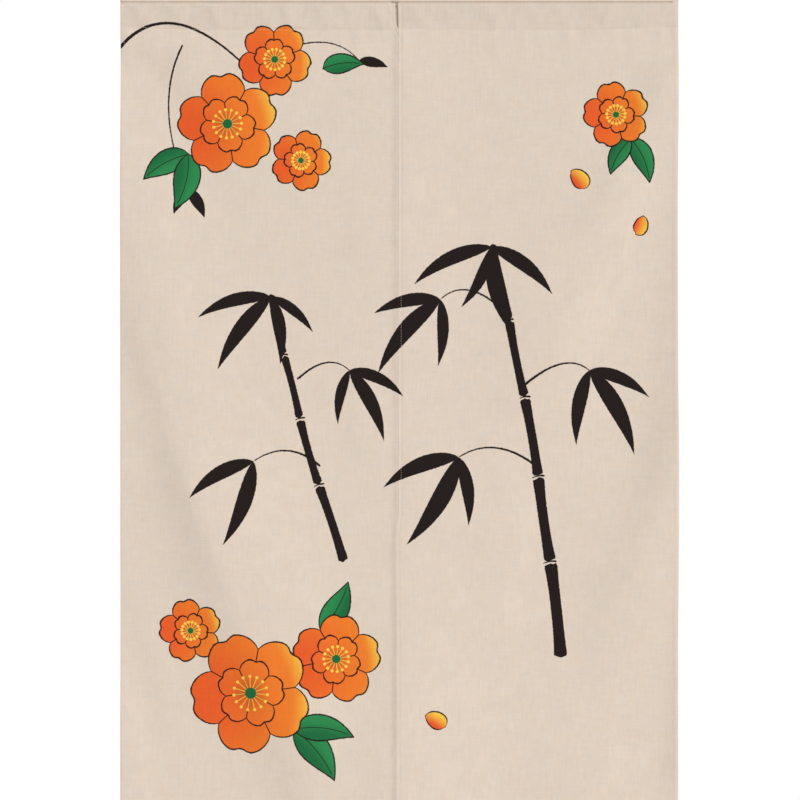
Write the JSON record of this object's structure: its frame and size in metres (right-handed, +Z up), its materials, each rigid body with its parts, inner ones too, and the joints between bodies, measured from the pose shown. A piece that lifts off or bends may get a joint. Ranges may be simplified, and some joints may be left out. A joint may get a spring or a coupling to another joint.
{
  "type": "half door curtain",
  "caption": "Half door curtain of linen-look cloth, split up the middle below a heading with a rod pocket, printed with orange blossoms, green leaves and bamboo in black ink.",
  "frame": {"origin": "middle of the heading band's top edge, on the band's front face, where the curtain is held up", "axes": "+X across to the viewer's right, +Z up along the drop, the printed front faces -Y"},
  "size_m": [0.8504, 0.033, 1.2241],
  "materials": {
    "panel_cloth": "matt beige linen-look plain weave with printed motifs on the front",
    "band_cloth": "matt beige linen-look plain weave, unprinted"
  },
  "bodies": {
    "root": {"panel_left": "panel_cloth", "panel_right": "panel_cloth", "heading_band": "band_cloth"}
  },
  "joints": []
}
